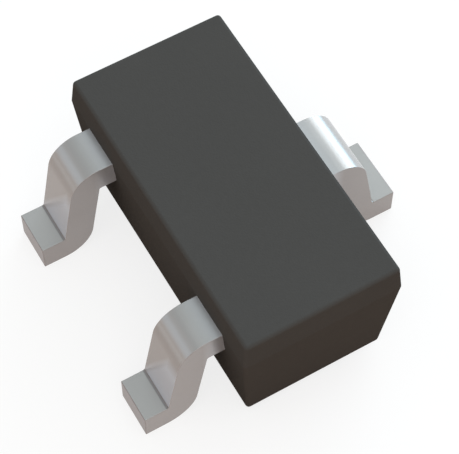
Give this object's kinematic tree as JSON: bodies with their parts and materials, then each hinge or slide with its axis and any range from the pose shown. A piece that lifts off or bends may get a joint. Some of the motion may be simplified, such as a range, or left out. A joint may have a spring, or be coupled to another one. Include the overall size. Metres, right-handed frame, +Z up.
{
  "type": "surface-mount mosfet",
  "caption": "Small black moulded transistor body on gull-wing leads: gate and source on one side, a wider drain lead on the other.",
  "frame": {"origin": "middle of the package on the seating plane of the three feet", "axes": "+Z up through the top face, +X towards the single drain lead, +Y along the body's length towards the gate lead"},
  "size_m": [0.0016, 0.0016, 0.0008],
  "materials": {
    "mould_compound": "matte",
    "tinned_lead": "satin",
    "attach_adhesive": "satin",
    "silicon": "polished",
    "die_metal": "satin",
    "bond_gold": "gloss"
  },
  "bodies": {
    "root": {"moulded_body": "mould_compound", "gate_lead": "tinned_lead", "source_lead": "tinned_lead", "drain_lead": "tinned_lead", "die_attach": "attach_adhesive", "die": "silicon", "gate_pad": "die_metal", "source_metal": "die_metal", "gate_wire": "bond_gold", "source_wire": "bond_gold"}
  },
  "joints": []
}
